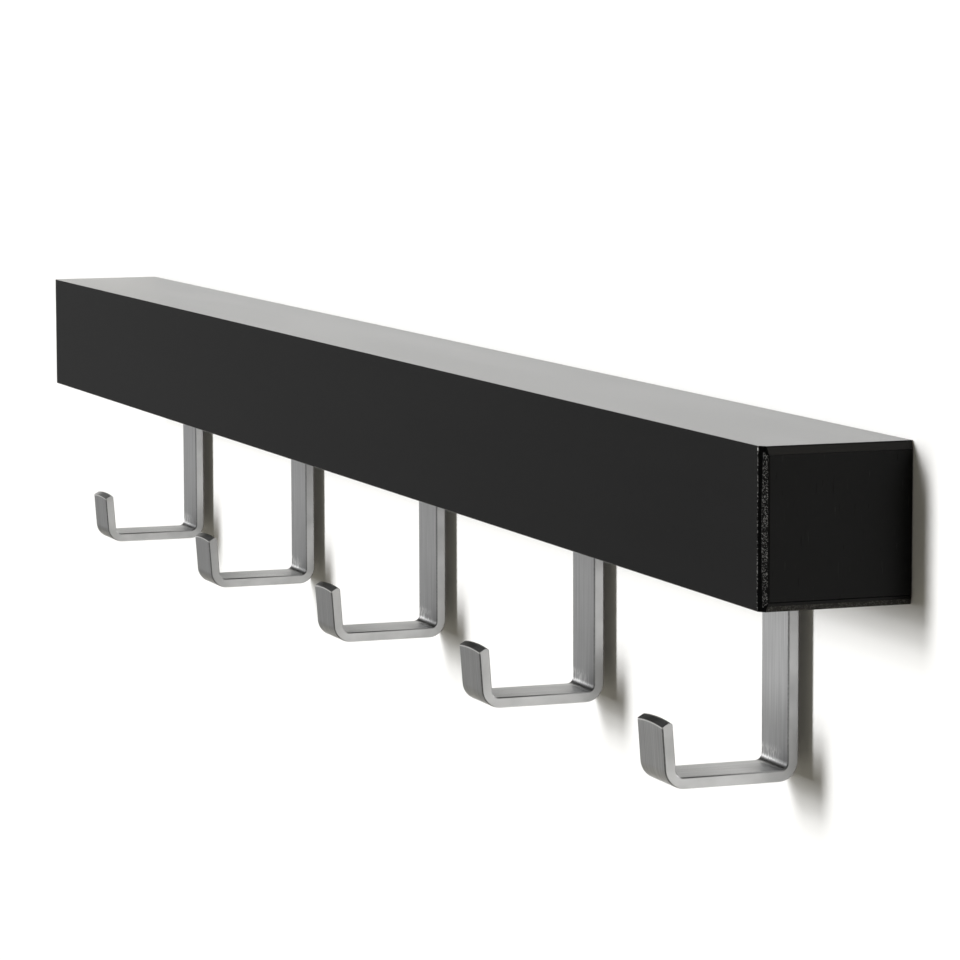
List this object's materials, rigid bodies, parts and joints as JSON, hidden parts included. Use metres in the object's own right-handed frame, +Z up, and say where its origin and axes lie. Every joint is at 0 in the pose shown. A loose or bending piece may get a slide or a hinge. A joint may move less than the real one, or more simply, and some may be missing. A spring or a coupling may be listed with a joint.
{
  "type": "wall shelf with hooks",
  "caption": "Long square-section black wall shelf with bevelled ends and flat bent steel hooks hanging from its underside.",
  "frame": {"origin": "centre of the shelf's flat back, on the wall", "axes": "+X along the shelf, to the right seen from the room; +Y into the wall, so -Y is the front; +Z up"},
  "size_m": [1, 0.0614, 0.14],
  "materials": {
    "black_foil": "smooth satin black foil on thin dense board",
    "black_lacquer": "black lacquer with a fine upright grain",
    "rail_board": "bare dense board",
    "satin_steel": "brushed satin stainless steel",
    "zinc": "bright zinc plate"
  },
  "bodies": {
    "root": {"beam_shell": "black_foil", "left_end_panel": "black_lacquer", "right_end_panel": "black_lacquer", "mounting_rail": "rail_board", "hook_1": "satin_steel", "hook_2": "satin_steel", "hook_3": "satin_steel", "hook_4": "satin_steel", "hook_5": "satin_steel", "hook_1_screw": "zinc", "hook_2_screw": "zinc", "hook_3_screw": "zinc", "hook_4_screw": "zinc", "hook_5_screw": "zinc", "left_keyhole_plate": "zinc", "left_plate_screws": "zinc", "right_keyhole_plate": "zinc", "right_plate_screws": "zinc"}
  },
  "joints": []
}
